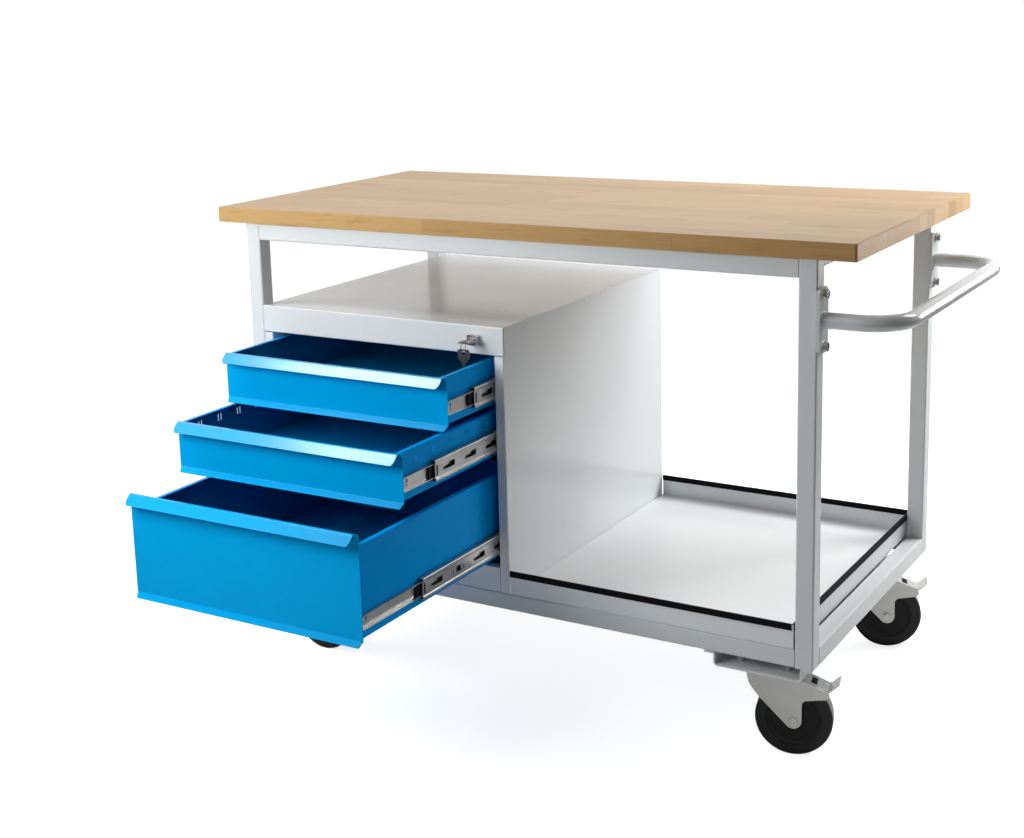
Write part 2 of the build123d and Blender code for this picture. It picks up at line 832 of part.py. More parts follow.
def trim_strip(length):
    wide = tray_sheet / 2 + trim_wall
    outer = Pos(0, trim_wall - trim_height / 2) * Rectangle(2 * wide, trim_height)
    outer = fillet(outer.vertices().group_by(Axis.Y)[-1], 1.2)
    inner = Pos(0, -trim_height / 2) * Rectangle(tray_sheet, trim_height)
    return extrude(outer - inner, amount=length)


def tray_trims():
    inset = tray_sheet / 2
    wide = inset + trim_wall
    long = tray_right - tray_left - wide - inset
    front = Plane(origin=(tray_left, frame_front + inset, tray_high), x_dir=(0, 1, 0), z_dir=(1, 0, 0))
    back = Plane(origin=(tray_left, frame_back - inset, tray_high), x_dir=(0, 1, 0), z_dir=(1, 0, 0))
    end_y = frame_front + inset + wide
    end = Plane(origin=(tray_right - inset, end_y, tray_high), x_dir=(-1, 0, 0), z_dir=(0, 1, 0))
    return [front * trim_strip(long), back * trim_strip(long), end * trim_strip(2 * abs(end_y))]


# Push handle: one bent tube, kept as a straight bar and two bent ends
handle_side = frame_back - tube / 2
handle_out = leg_out + handle_reach
handle_straight = handle_side - handle_bend


def tube_along(path):
    ring = Circle(handle_tube / 2) - Circle(handle_tube / 2 - handle_wall)
    return sweep(Plane(origin=path @ 0, z_dir=path % 0) * ring, path=path)


def handle_bar():
    start = (handle_out, -handle_straight, handle_height)
    return tube_along(Line(start, (handle_out, handle_straight, handle_height)))


def handle_end(end):
    side = end * handle_side
    bend_x = handle_out - handle_bend
    out = Line((leg_out + handle_plate, side, handle_height), (bend_x, side, handle_height))
    bend_end = (handle_out, end * handle_straight, handle_height)
    bend = TangentArc(out @ 1, bend_end, tangent=(1, 0, 0))
    return tube_along(Wire([out, bend])) + handle_foot(side)


def handle_foot(y):
    along = Plane(origin=(leg_out, y, handle_height), x_dir=(0, 1, 0), z_dir=(1, 0, 0))
    outline = RectangleRounded(handle_plate_width, handle_plate_height, handle_plate_corner)
    plate = extrude(along * outline, amount=handle_plate)
    for level in (-1, 1):
        place = (leg_out - 1, y, handle_height + level * handle_bolt_span / 2)
        plate -= rod((handle_bolt + bolt_play) / 2, place, handle_plate + 2, (1, 0, 0))
    return plate


def handle_bolt_at(y, level):
    z = handle_height + level * handle_bolt_span / 2
    face = leg_out + handle_plate
    tail = leg_out - tube_wall - handle_bolt_tail
    shank = rod(handle_bolt / 2, (tail, y, z), face - tail, (1, 0, 0))
    washer = rod(washer_diameter / 2, (face, y, z), washer_height, (1, 0, 0))
    head = hexagon(bolt_head_across, (face + washer_height, y, z), handle_bolt_head, (1, 0, 0))
    return shank + washer + head


save(worktop(), "worktop")
for side, side_name in ((-1, "left"), (1, "right")):
    save_group([leg(side, -1), leg(side, 1)], "legs_" + side_name)
    save(hat_section(side), "hat_section_" + side_name)
    save(cabinet_side(side), "cabinet_" + side_name + "_side")
for end, end_name in ((-1, "front"), (1, "back")):
    place = swivel_place(end)
    save(place * swivel_fork(), "swivel_fork_" + end_name)
    save(place * axle(trail), "caster_axle_" + end_name)
    save(place * pedal(), "brake_pedal_" + end_name)
    save(place * Pos(trail, 0, 0) * tyre(), "tyre_right_" + end_name)
    save(place * Pos(trail, 0, 0) * hub(), "hub_right_" + end_name)
    fixed = Pos(fixed_x, end * caster_y, 0)
    save(fixed * tyre(), "tyre_left_" + end_name)
    save(fixed * hub(), "hub_left_" + end_name)
save_group([long_rail(end, under_top - tube) for end in (-1, 1)], "top_rails")
save_group([long_rail(end, rail_low) for end in (-1, 1)], "lower_rails")
save_group([end_rail(side, under_top - end_tie_height, end_tie_height) for side in (-1, 1)], "top_end_ties")
save_group([end_rail(side, rail_low, tube) for side in (-1, 1)], "lower_end_rails")
save_group([Pos(hat_x, end * caster_y, 0) * swivel_plate() for end in (-1, 1)], "swivel_plates")
save_group([Pos(fixed_x, end * caster_y, 0) * fixed_fork() for end in (-1, 1)], "fixed_forks")
save_group([Pos(fixed_x, end * caster_y, 0) * axle(0) for end in (-1, 1)], "fixed_axles")
corners = [(side, end) for side in (-1, 1) for end in (-1, 1)]
bolt_places = [place for side, end in corners for place in plate_bolt_places(side, end)]
save_group([plate_bolt_at(x, y) for x, y in bolt_places], "caster_bolts")

save(cabinet_top(), "cabinet_top")
save(cabinet_back(), "cabinet_back")
save(cabinet_bottom(), "cabinet_bottom")
save(cabinet_sill(), "cabinet_sill")
save_group([slide_post(-1), slide_post(1)], "slide_posts")
fixed_channels = []
for index in range(3):
    number = str(index + 1)
    level = drawer_low(index) + slide_rise
    fixed_channels += both_sides(cabinet_channel(slide_front), level)
    save(front_panel(index), "drawer_front_" + number)
    save(tub(index), "drawer_tub_" + number)
    moved = slide_front - drawer_open[index]
    save_group(both_sides(drawer_channel(moved), level), "drawer_slides_" + number)
    half_way = middle_front - middle_open[index]
    save_group(both_sides(middle_channel(half_way, index), level), "middle_slides_" + number)
    inner = [cage(half_way), ball_strip(half_way, -1), ball_strip(half_way, 1)]
    save_group([piece for shape in inner for piece in both_sides(shape, level)], "slide_cages_" + number)
save_group(fixed_channels, "cabinet_slides")

save(lock_housing(), "lock_housing")
save(lock_cylinder(), "lock_cylinder")
save(key(), "key")
save(key_ring(), "key_ring")
save(spare_key(), "spare_key")
save(tray(), "tray")
save_group(tray_trims(), "tray_trim")
save(handle_bar(), "handle_bar")
save_group([handle_end(-1), handle_end(1)], "handle_ends")
handle_places = [(end * handle_side, level) for end in (-1, 1) for level in (-1, 1)]
save_group([handle_bolt_at(y, level) for y, level in handle_places], "handle_bolts")
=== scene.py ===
import json
import math
import bpy
from mathutils import Matrix, Vector

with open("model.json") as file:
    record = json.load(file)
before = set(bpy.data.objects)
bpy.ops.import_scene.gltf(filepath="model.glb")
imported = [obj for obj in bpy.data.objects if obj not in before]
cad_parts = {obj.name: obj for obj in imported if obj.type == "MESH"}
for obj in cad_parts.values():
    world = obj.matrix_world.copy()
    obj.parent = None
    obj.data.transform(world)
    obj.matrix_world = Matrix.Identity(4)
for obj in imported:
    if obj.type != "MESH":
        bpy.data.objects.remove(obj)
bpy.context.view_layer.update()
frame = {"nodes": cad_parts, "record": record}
nodes = frame["nodes"]
scene = bpy.context.scene
print("frame loaded, nodes:", len(nodes))


# small helpers for shader trees
def addNode(tree, kind, x, y, **settings):
    node = tree.nodes.new(kind)
    node.location = (x, y)
    for key, value in settings.items():
        setattr(node, key, value)
    return node


def setInputs(node, **values):
    for key, value in values.items():
        node.inputs[key.replace("_", " ")].default_value = value


# a plain value is set on the socket, an output is linked to it
def feed(tree, socket, value):
    if isinstance(value, (int, float, tuple)):
        socket.default_value = value
    else:
        tree.links.new(value, socket)


def mathNode(tree, operation, x, y, first, second=None, clamp=False):
    node = addNode(tree, "ShaderNodeMath", x, y, operation=operation, use_clamp=clamp)
    feed(tree, node.inputs[0], first)
    if second is not None:
        feed(tree, node.inputs[1], second)
    return node.outputs[0]


def vectorNode(tree, operation, x, y, first, second, output="Vector"):
    node = addNode(tree, "ShaderNodeVectorMath", x, y, operation=operation)
    feed(tree, node.inputs[0], first)
    feed(tree, node.inputs[1], second)
    return node.outputs[output]


def scaleVector(tree, x, y, vector, amount):
    node = addNode(tree, "ShaderNodeVectorMath", x, y, operation="SCALE")
    tree.links.new(vector, node.inputs[0])
    feed(tree, node.inputs["Scale"], amount)
    return node.outputs["Vector"]


def mixColour(tree, x, y, factor, first, second):
    node = addNode(tree, "ShaderNodeMix", x, y, data_type="RGBA")
    for index, value in ((0, factor), (6, first), (7, second)):
        feed(tree, node.inputs[index], value)
    return node.outputs[2]


def rangeNode(tree, x, y, value, limits, least=0.0, most=1.0):
    node = addNode(tree, "ShaderNodeMapRange", x, y)
    setInputs(node, From_Min=limits[0], From_Max=limits[1], To_Min=least, To_Max=most)
    tree.links.new(value, node.inputs["Value"])
    return node.outputs[0]


def noiseNode(tree, x, y, vector, **settings):
    node = addNode(tree, "ShaderNodeTexNoise", x, y)
    setInputs(node, **settings)
    tree.links.new(vector, node.inputs["Vector"])
    return node


def splitVector(tree, x, y, vector):
    node = addNode(tree, "ShaderNodeSeparateXYZ", x, y)
    tree.links.new(vector, node.inputs[0])
    return node.outputs


def surfacePlace(tree, x, y, kind="Object"):
    return addNode(tree, "ShaderNodeTexCoord", x, y).outputs[kind]


def faceNormal(tree, x, y):
    return addNode(tree, "ShaderNodeNewGeometry", x, y).outputs["Normal"]


def newGroup(name, inputs, outputs):
    tree = bpy.data.node_groups.new(name, "ShaderNodeTree")
    for label, kind, value in inputs:
        socket = tree.interface.new_socket(label, in_out="INPUT", socket_type=kind)
        socket.default_value = value
    for label, kind in outputs:
        tree.interface.new_socket(label, in_out="OUTPUT", socket_type=kind)
    entry = addNode(tree, "NodeGroupInput", -1200, 0)
    leave = addNode(tree, "NodeGroupOutput", 900, 0)
    return tree, entry, leave


def useGroup(tree, group, x, y, **values):
    node = addNode(tree, "ShaderNodeGroup", x, y)
    node.node_tree = group
    setInputs(node, **values)
    return node


surfaceOutputs = [("Colour", "NodeSocketColor"), ("Roughness", "NodeSocketFloat"),
                  ("Height", "NodeSocketFloat")]

# fine orange peel and slow tone drift of a sprayed coat
coatNoise = dict(peel=dict(Detail=2.0, Roughness=0.5), drift=dict(Scale=7.0, Detail=3.0, Roughness=0.55),
                 roughSpread=0.25)


def makeCoatGroup():
    inputs = [("Scale", "NodeSocketFloat", 900.0), ("Drift", "NodeSocketFloat", 0.04),
              ("Base", "NodeSocketColor", (0.5, 0.5, 0.5, 1.0)), ("Rough", "NodeSocketFloat", 0.35)]
    tree, entry, leave = newGroup("sprayedCoat", inputs, surfaceOutputs)
    place = surfacePlace(tree, -1000, -200)
    peel = noiseNode(tree, -700, 200, place, **coatNoise["peel"])
    tree.links.new(entry.outputs["Scale"], peel.inputs["Scale"])
    slow = noiseNode(tree, -700, -150, place, **coatNoise["drift"])
    centred = mathNode(tree, "SUBTRACT", -450, -150, slow.outputs["Fac"], 0.5)
    drift = mathNode(tree, "MULTIPLY", -250, -150, centred, entry.outputs["Drift"])
    factor = mathNode(tree, "ADD", -50, -150, drift, 1.0)
    tree.links.new(scaleVector(tree, 200, 0, entry.outputs["Base"], factor), leave.inputs["Colour"])
    spread = mathNode(tree, "MULTIPLY", -250, -350, centred, coatNoise["roughSpread"])
    rough = mathNode(tree, "ADD", 0, -350, entry.outputs["Rough"], spread, clamp=True)
    tree.links.new(rough, leave.inputs["Roughness"])
    tree.links.new(peel.outputs["Fac"], leave.inputs["Height"])
    return tree


# dust and rubbing marks, as a mask
marksNoise = dict(cloud=dict(Detail=6.0, Roughness=0.65), limits=(0.52, 0.75))


def makeMarksGroup():
    inputs = [("Scale", "NodeSocketFloat", 30.0), ("Amount", "NodeSocketFloat", 0.2)]
    tree, entry, leave = newGroup("handlingMarks", inputs, [("Mask", "NodeSocketFloat")])
    cloud = noiseNode(tree, -700, 100, surfacePlace(tree, -1000, -200), **marksNoise["cloud"])
    tree.links.new(entry.outputs["Scale"], cloud.inputs["Scale"])
    spots = rangeNode(tree, -400, 100, cloud.outputs["Fac"], marksNoise["limits"])
    tree.links.new(mathNode(tree, "MULTIPLY", 0, 100, spots, entry.outputs["Amount"]), leave.inputs["Mask"])
    return tree


# streaks of rolled or plated steel along one axis
streakNoise = dict(streak=dict(Scale=1.0, Detail=5.0, Roughness=0.6),
                   cloud=dict(Scale=55.0, Detail=4.0, Roughness=0.6), roughSpread=0.4)


def makeStreakGroup():
    inputs = [("Stretch", "NodeSocketVector", (60.0, 4.0, 400.0)),
              ("Dark", "NodeSocketColor", (0.4, 0.4, 0.4, 1.0)),
              ("Light", "NodeSocketColor", (0.6, 0.6, 0.6, 1.0)), ("Rough", "NodeSocketFloat", 0.3)]
    tree, entry, leave = newGroup("platedStreaks", inputs, surfaceOutputs)
    place = surfacePlace(tree, -1000, -200)
    stretched = vectorNode(tree, "MULTIPLY", -800, 0, place, entry.outputs["Stretch"])
    streak = noiseNode(tree, -600, 100, stretched, **streakNoise["streak"]).outputs["Fac"]
    cloud = noiseNode(tree, -600, -200, place, **streakNoise["cloud"]).outputs["Fac"]
    blend = mathNode(tree, "MULTIPLY", -350, 0, mathNode(tree, "ADD", -450, 0, streak, cloud), 0.5)
    colour = mixColour(tree, 200, 100, blend, entry.outputs["Dark"], entry.outputs["Light"])
    tree.links.new(colour, leave.inputs["Colour"])
    centred = mathNode(tree, "SUBTRACT", -200, -200, blend, 0.5)
    spread = mathNode(tree, "MULTIPLY", -100, -200, centred, streakNoise["roughSpread"])
    rough = mathNode(tree, "ADD", 100, -200, entry.outputs["Rough"], spread, clamp=True)
    tree.links.new(rough, leave.inputs["Roughness"])
    tree.links.new(streak, leave.inputs["Height"])
    return tree


coatGroup = makeCoatGroup()
marksGroup = makeMarksGroup()
streakGroup = makeStreakGroup()


def newMaterial(name):
    material = bpy.data.materials.new(name)
    material.use_nodes = True
    tree = material.node_tree
    tree.nodes.clear()
    out = addNode(tree, "ShaderNodeOutputMaterial", 900, 0)
    shader = addNode(tree, "ShaderNodeBsdfPrincipled", 600, 0)
    tree.links.new(shader.outputs[0], out.inputs["Surface"])
    return material, tree, shader


def addBump(tree, shader, height, strength, distance):
    bump = addNode(tree, "ShaderNodeBump", 350, -350)
    setInputs(bump, Strength=strength, Distance=distance)
    tree.links.new(height, bump.inputs["Height"])
    tree.links.new(bump.outputs[0], shader.inputs["Normal"])


# powder coat; grip is gloss on faces that lean up, such as the drawers' folded grips,
# and insideShade is painted shade, a darker colour on the faces that look inwards
coatLooks = {
    "framePaint": dict(base=(0.68, 0.705, 0.71, 1.0), rough=0.34, peel=1100.0, bump=0.05,
                       coat=0.0, shine=0.28),
    "handlePaint": dict(base=(0.64, 0.66, 0.665, 1.0), rough=0.20, peel=1100.0, bump=0.02,
                        coat=0.4, shine=0.5),
    "cabinetPaint": dict(base=(0.70, 0.728, 0.742, 1.0), rough=0.16, peel=1000.0, bump=0.02,
                         coat=0.0, shine=0.31),
    "trayPaint": dict(base=(0.76, 0.79, 0.805, 1.0), rough=0.22, peel=1000.0, bump=0.03,
                      coat=0.1, shine=0.5),
    "drawerPaint": dict(base=(0.0, 0.352, 0.735, 1.0), rough=0.25, peel=1000.0, bump=0.02,
                        coat=0.0, shine=0.03, grip=0.95),
    # shadedLowDrawerPaint is a shaded copy of drawerPaint for the lowest drawer front: its slightly darker
    # base is painted shade, and its grip gloss is lower
    "shadedLowDrawerPaint": dict(base=(0.0, 0.345, 0.72, 1.0), rough=0.25, peel=1000.0, bump=0.02,
                           coat=0.0, shine=0.03, grip=0.25),
    "tubPaint": dict(base=(0.0, 0.33, 0.86, 1.0), rough=0.3, peel=1000.0, bump=0.02,
                     coat=0.0, shine=0.03, insideShade=(0.0, 0.215, 0.47, 1.0)),
}
coatFinish = dict(drift=0.03, coatRough=0.2, gripRough=0.16, bumpDepth=0.0004)
leanLimits = dict(leaning=(0.10, 0.35), flat=(0.60, 0.68), low=(0.55, 0.45))


# faces leaning up, without the flat of the drawers' bottom lip
def leaningUp(tree):
    upward = splitVector(tree, -900, -700, faceNormal(tree, -1100, -700))["Z"]
    level = splitVector(tree, -900, -900, surfacePlace(tree, -1100, -900, "Generated"))["Z"]
    leaning = rangeNode(tree, -700, -600, upward, leanLimits["leaning"])
    flat = rangeNode(tree, -700, -800, upward, leanLimits["flat"])
    low = rangeNode(tree, -700, -1000, level, leanLimits["low"])
    bottomLip = mathNode(tree, "MULTIPLY", -500, -900, flat, low)
    rest = mathNode(tree, "SUBTRACT", -300, -900, 1.0, bottomLip)
    return mathNode(tree, "MULTIPLY", -100, -700, leaning, rest)


# faces that look towards the middle of a piece, such as the inner walls of a tub; the mask of the painted
# shade inside
def shadedInsideMask(tree):
    place = surfacePlace(tree, -1300, 100, "Generated")
    fromMiddle = vectorNode(tree, "SUBTRACT", -1100, 100, place, (0.5, 0.5, 0.5))
    lean = vectorNode(tree, "DOT_PRODUCT", -900, 200, faceNormal(tree, -1100, 300), fromMiddle, "Value")
    return mathNode(tree, "LESS_THAN", -700, 200, lean, 0.0)


def makeCoat(name):
    look = coatLooks[name]
    material, tree, shader = newMaterial(name)
    coat = useGroup(tree, coatGroup, -300, 100, Scale=look["peel"], Drift=coatFinish["drift"],
                    Base=look["base"], Rough=look["rough"])
    tree.links.new(coat.outputs["Colour"], shader.inputs["Base Color"])
    tree.links.new(coat.outputs["Roughness"], shader.inputs["Roughness"])
    setInputs(shader, Coat_Weight=look["coat"], Coat_Roughness=coatFinish["coatRough"])
    setInputs(shader, Specular_IOR_Level=look["shine"])
    # painted shade: faces that look inwards take the darker insideShade colour, as if in shadow
    if "insideShade" in look:
        base = mixColour(tree, -500, 100, shadedInsideMask(tree), look["base"], look["insideShade"])
        tree.links.new(base, coat.inputs["Base"])
    if "grip" in look:
        gloss = mathNode(tree, "MULTIPLY", 100, -600, leaningUp(tree), look["grip"])
        tree.links.new(gloss, shader.inputs["Coat Weight"])
        setInputs(shader, Coat_Roughness=coatFinish["gripRough"])
    addBump(tree, shader, coat.outputs["Height"], look["bump"], coatFinish["bumpDepth"])
    return material


# laminated beech: staves run along X, each stave is jointed from shorter blocks
beechLook = dict(
    staveWidth=0.0425, blockLength=0.46, blockShift=7.0,
    light=(0.60, 0.387, 0.172, 1.0), dark=(0.40, 0.238, 0.09, 1.0), line=(0.26, 0.14, 0.055, 1.0),
    toneShare=0.55, grainShare=0.6, toneLess=0.08,
    grainScale=(5.0, 130.0, 130.0), grainJump=9.0,
    grain=dict(Scale=1.0, Detail=6.0, Roughness=0.62, Distortion=0.4),
    fleckScale=(90.0, 900.0, 900.0), fleckLimits=(0.62, 0.74), fleckShare=0.35,
    fleck=dict(Scale=1.0, Detail=2.0, Roughness=0.5),
    figureScale=(10.0, 40.0, 95.0), figureLimits=(0.57, 0.74), figureShare=0.5,
    figure=dict(Scale=1.0, Detail=3.0, Roughness=0.6, Distortion=0.6),
    rings=dict(Scale=55.0, Distortion=5.0, Detail=3.0), ringShare=0.18, endToneShare=0.8, endLimit=0.6,
    staveLimits=(0.488, 0.4985), staveLine=0.35, blockLimits=(0.4985, 0.4997), blockLine=0.5,
    rough=0.42, roughSpread=0.2, shine=0.1, topCoat=0.57, topLimits=(0.90, 0.99),
    bump=0.08, bumpDepth=0.0006,
)


# position among the staves and blocks, with a random tone for each
def staveBlocks(tree, place):
    split = splitVector(tree, -2200, 0, place)
    across = mathNode(tree, "DIVIDE", -2000, 200, split["Y"], beechLook["staveWidth"])
    stave = mathNode(tree, "FLOOR", -1800, 200, across)
    staveNoise = addNode(tree, "ShaderNodeTexWhiteNoise", -1600, 300, noise_dimensions="1D")
    tree.links.new(stave, staveNoise.inputs["W"])
    along = mathNode(tree, "DIVIDE", -2000, -100, split["X"], beechLook["blockLength"])
    shift = mathNode(tree, "MULTIPLY", -1500, 100, staveNoise.outputs["Value"], beechLook["blockShift"])
    moved = mathNode(tree, "ADD", -1400, -100, along, shift)
    both = addNode(tree, "ShaderNodeCombineXYZ", -1000, 100)
    tree.links.new(stave, both.inputs["X"])
    tree.links.new(mathNode(tree, "FLOOR", -1200, -100, moved), both.inputs["Y"])
    tone = addNode(tree, "ShaderNodeTexWhiteNoise", -800, 200, noise_dimensions="3D")
    tree.links.new(both.outputs[0], tone.inputs["Vector"])
    return across, moved, staveNoise.outputs, tone.outputs


# long streaks, moved per block so that neighbours differ
def grainStreaks(tree, place, tone):
    jump = scaleVector(tree, -800, -150, tone["Color"], beechLook["grainJump"])
    stretched = vectorNode(tree, "MULTIPLY", -1000, -350, place, beechLook["grainScale"])
    shifted = vectorNode(tree, "ADD", -600, -250, stretched, jump)
    return noiseNode(tree, -400, -250, shifted, **beechLook["grain"]).outputs["Fac"]


# short dark flecks of beech
def addFlecks(tree, place, wood):
    look = beechLook
    stretched = vectorNode(tree, "MULTIPLY", -600, -550, place, look["fleckScale"])
    fleck = noiseNode(tree, -400, -550, stretched, **look["fleck"])
    mask = rangeNode(tree, -200, -550, fleck.outputs["Fac"], look["fleckLimits"],
                     most=look["fleckShare"])
    return mixColour(tree, 150, 0, mask, wood, look["dark"])


# sparse darker figure that runs along the grain
def addFigure(tree, place, wood):
    look = beechLook
    stretched = vectorNode(tree, "MULTIPLY", -600, -1100, place, look["figureScale"])
    figure = noiseNode(tree, -400, -1100, stretched, **look["figure"])
    mask = rangeNode(tree, -200, -1100, figure.outputs["Fac"], look["figureLimits"],
                     most=look["figureShare"])
    return mixColour(tree, 100, -1100, mask, wood, look["line"])


# cut ends of the staves: curved rings, with a tone of their own for each stave
def endGrain(tree, place, staveTone, along):
    look = beechLook
    rings = addNode(tree, "ShaderNodeTexWave", -800, 900, wave_type="RINGS", rings_direction="X")
    setInputs(rings, **look["rings"])
    tree.links.new(vectorNode(tree, "ADD", -1000, 900, place, staveTone["Color"]), rings.inputs["Vector"])
    weak = mathNode(tree, "MULTIPLY", -600, 900, rings.outputs["Fac"], look["ringShare"])
    tone = mathNode(tree, "MULTIPLY", -600, 1050, staveTone["Value"], look["endToneShare"])
    lightness = mathNode(tree, "ADD", -450, 950, weak, tone, clamp=True)
    cut = mixColour(tree, -300, 900, lightness, look["dark"], look["light"])
    endways = splitVector(tree, -600, 1250, faceNormal(tree, -800, 1250))["X"]
    endways = mathNode(tree, "ABSOLUTE", -450, 1250, endways)
    isEnd = mathNode(tree, "GREATER_THAN", -300, 1250, endways, look["endLimit"])
    return mixColour(tree, -100, 1000, isEnd, along, cut)


# the edge of a stave or block lies half a step from its middle
def glueLine(tree, y, position, limits, share):
    part = mathNode(tree, "FRACT", -1600, y, position)
    centred = mathNode(tree, "SUBTRACT", -1500, y, part, 0.5)
    edge = mathNode(tree, "ABSOLUTE", -1400, y, centred)
    return rangeNode(tree, -1100, y, edge, limits, most=share)


def makeBeech():
    look = beechLook
    material, tree, shader = newMaterial("beechStaves")
    place = surfacePlace(tree, -2400, 0)
    across, moved, staveTone, tone = staveBlocks(tree, place)
    grain = grainStreaks(tree, place, tone)
    blockPart = mathNode(tree, "MULTIPLY", -400, 100, tone["Value"], look["toneShare"])
    grainPart = mathNode(tree, "MULTIPLY", -400, 0, grain, look["grainShare"])
    mixed = mathNode(tree, "ADD", -200, 0, blockPart, grainPart)
    lightness = mathNode(tree, "SUBTRACT", -100, -50, mixed, look["toneLess"], clamp=True)
    wood = mixColour(tree, 0, 0, lightness, look["dark"], look["light"])
    wood = addFlecks(tree, place, wood)
    wood = addFigure(tree, place, wood)
    wood = endGrain(tree, place, staveTone, wood)
    staveLine = glueLine(tree, 500, across, look["staveLimits"], look["staveLine"])
    blockLine = glueLine(tree, 700, moved, look["blockLimits"], look["blockLine"])
    lines = mathNode(tree, "MAXIMUM", -800, 600, staveLine, blockLine)
    tree.links.new(mixColour(tree, 350, 0, lines, wood, look["line"]), shader.inputs["Base Color"])
    spread = mathNode(tree, "MULTIPLY", 150, -200, grain, look["roughSpread"])
    rough = mathNode(tree, "ADD", 300, -200, spread, look["rough"] - look["roughSpread"] / 2)
    tree.links.new(rough, shader.inputs["Roughness"])
    addBump(tree, shader, grain, look["bump"], look["bumpDepth"])
    # the oiled top is glossier than the sawn edges
    upward = splitVector(tree, 0, -800, faceNormal(tree, -200, -800))["Z"]
    gloss = rangeNode(tree, 200, -800, upward, look["topLimits"], most=look["topCoat"])
    tree.links.new(gloss, shader.inputs["Coat Weight"])
    setInputs(shader, Specular_IOR_Level=look["shine"], Coat_Roughness=look["rough"])
    return material


# plated steel parts: slides, forks, bolts, lock and keys
steelLooks = {
    "slideZinc": dict(stretch=(300.0, 6.0, 300.0), rough=0.32, dark=(0.38, 0.38, 0.38, 1.0),
                      light=(0.54, 0.54, 0.53, 1.0)),
    "forkZinc": dict(stretch=(40.0, 40.0, 60.0), rough=0.42, dark=(0.42, 0.42, 0.405, 1.0),
                     light=(0.60, 0.60, 0.58, 1.0)),
    "boltZinc": dict(stretch=(200.0, 200.0, 200.0), rough=0.22, dark=(0.34, 0.34, 0.33, 1.0),
                     light=(0.66, 0.66, 0.64, 1.0)),
    "lockPlate": dict(stretch=(150.0, 150.0, 150.0), rough=0.16, dark=(0.55, 0.55, 0.56, 1.0),
                      light=(0.80, 0.80, 0.80, 1.0)),
    "keyNickel": dict(stretch=(250.0, 250.0, 250.0), rough=0.30, dark=(0.20, 0.17, 0.15, 1.0),
                      light=(0.40, 0.36, 0.33, 1.0)),
    "pedalSteel": dict(stretch=(60.0, 60.0, 200.0), rough=0.24, dark=(0.52, 0.52, 0.51, 1.0),
                       light=(0.78, 0.78, 0.77, 1.0)),
}
steelFinish = dict(marksScale=60.0, marks=0.06, grime=(0.30, 0.29, 0.28, 1.0), bump=0.04, bumpDepth=0.0003)


def makeSteel(name):
    look = steelLooks[name]
    material, tree, shader = newMaterial(name)
    streak = useGroup(tree, streakGroup, -300, 100, Stretch=look["stretch"], Dark=look["dark"],
                      Light=look["light"], Rough=look["rough"])
    marks = useGroup(tree, marksGroup, -300, -300, Scale=steelFinish["marksScale"],
                     Amount=steelFinish["marks"])
    mask = marks.outputs["Mask"]
    colour = mixColour(tree, 100, 150, mask, streak.outputs["Colour"], steelFinish["grime"])
    tree.links.new(colour, shader.inputs["Base Color"])
    rough = mathNode(tree, "ADD", 100, -100, streak.outputs["Roughness"], mask, clamp=True)
    tree.links.new(rough, shader.inputs["Roughness"])
    setInputs(shader, Metallic=1.0)
    addBump(tree, shader, streak.outputs["Height"], steelFinish["bump"], steelFinish["bumpDepth"])
    return material


# black rubber and moulded plastic; tread is gloss on faces seen at a low angle
blackLooks = {
    "tyreRubber": dict(base=(0.005, 0.005, 0.005, 1.0), dust=(0.025, 0.0245, 0.024, 1.0),
                       rough=0.42, peel=700.0, bump=0.10, marks=0.2, shine=0.3, tread=0.9),
    "hubPlastic": dict(base=(0.006, 0.006, 0.006, 1.0), dust=(0.025, 0.025, 0.024, 1.0),
                       rough=0.45, peel=1500.0, bump=0.05, marks=0.15, shine=0.2),
    "cagePlastic": dict(base=(0.008, 0.008, 0.008, 1.0), dust=(0.03, 0.03, 0.03, 1.0),
                        rough=0.40, peel=1500.0, bump=0.04, marks=0.2, shine=0.12),
    "trimRubber": dict(base=(0.005, 0.005, 0.006, 1.0), dust=(0.02, 0.02, 0.02, 1.0),
                       rough=0.55, peel=900.0, bump=0.06, marks=0.2, shine=0.06),
}
blackFinish = dict(drift=0.3, marksScale=45.0, treadLimits=(0.60, 0.80), treadRough=0.15, bumpDepth=0.0005)


def makeBlack(name):
    look = blackLooks[name]
    material, tree, shader = newMaterial(name)
    coat = useGroup(tree, coatGroup, -300, 100, Scale=look["peel"], Drift=blackFinish["drift"],
                    Base=look["base"], Rough=look["rough"])
    marks = useGroup(tree, marksGroup, -300, -250, Scale=blackFinish["marksScale"], Amount=look["marks"])
    colour = mixColour(tree, 100, 150, marks.outputs["Mask"], coat.outputs["Colour"], look["dust"])
    tree.links.new(colour, shader.inputs["Base Color"])
    tree.links.new(coat.outputs["Roughness"], shader.inputs["Roughness"])
    setInputs(shader, Specular_IOR_Level=look["shine"])
    if "tread" in look:
        turned = addNode(tree, "ShaderNodeLayerWeight", -300, -600)
        gloss = rangeNode(tree, 0, -600, turned.outputs["Facing"], blackFinish["treadLimits"],
                          most=look["tread"])
        tree.links.new(gloss, shader.inputs["Coat Weight"])
        setInputs(shader, Coat_Roughness=blackFinish["treadRough"])
    addBump(tree, shader, coat.outputs["Height"], look["bump"], blackFinish["bumpDepth"])
    return material


materials = {name: makeCoat(name) for name in coatLooks}
materials["beechStaves"] = makeBeech()
materials.update({name: makeSteel(name) for name in steelLooks})
materials.update({name: makeBlack(name) for name in blackLooks})
print("materials made:", len(materials))

slotFinish = {
    "worktop": "beechStaves", "frame": "framePaint", "cabinet": "cabinetPaint", "tray": "trayPaint",
    "drawer": "drawerPaint", "zinc": "forkZinc", "bolts": "boltZinc", "rubber": "tyreRubber",
    "hub": "hubPlastic", "cage": "cagePlastic", "trim": "trimRubber", "lock": "lockPlate", "key": "keyNickel",
}
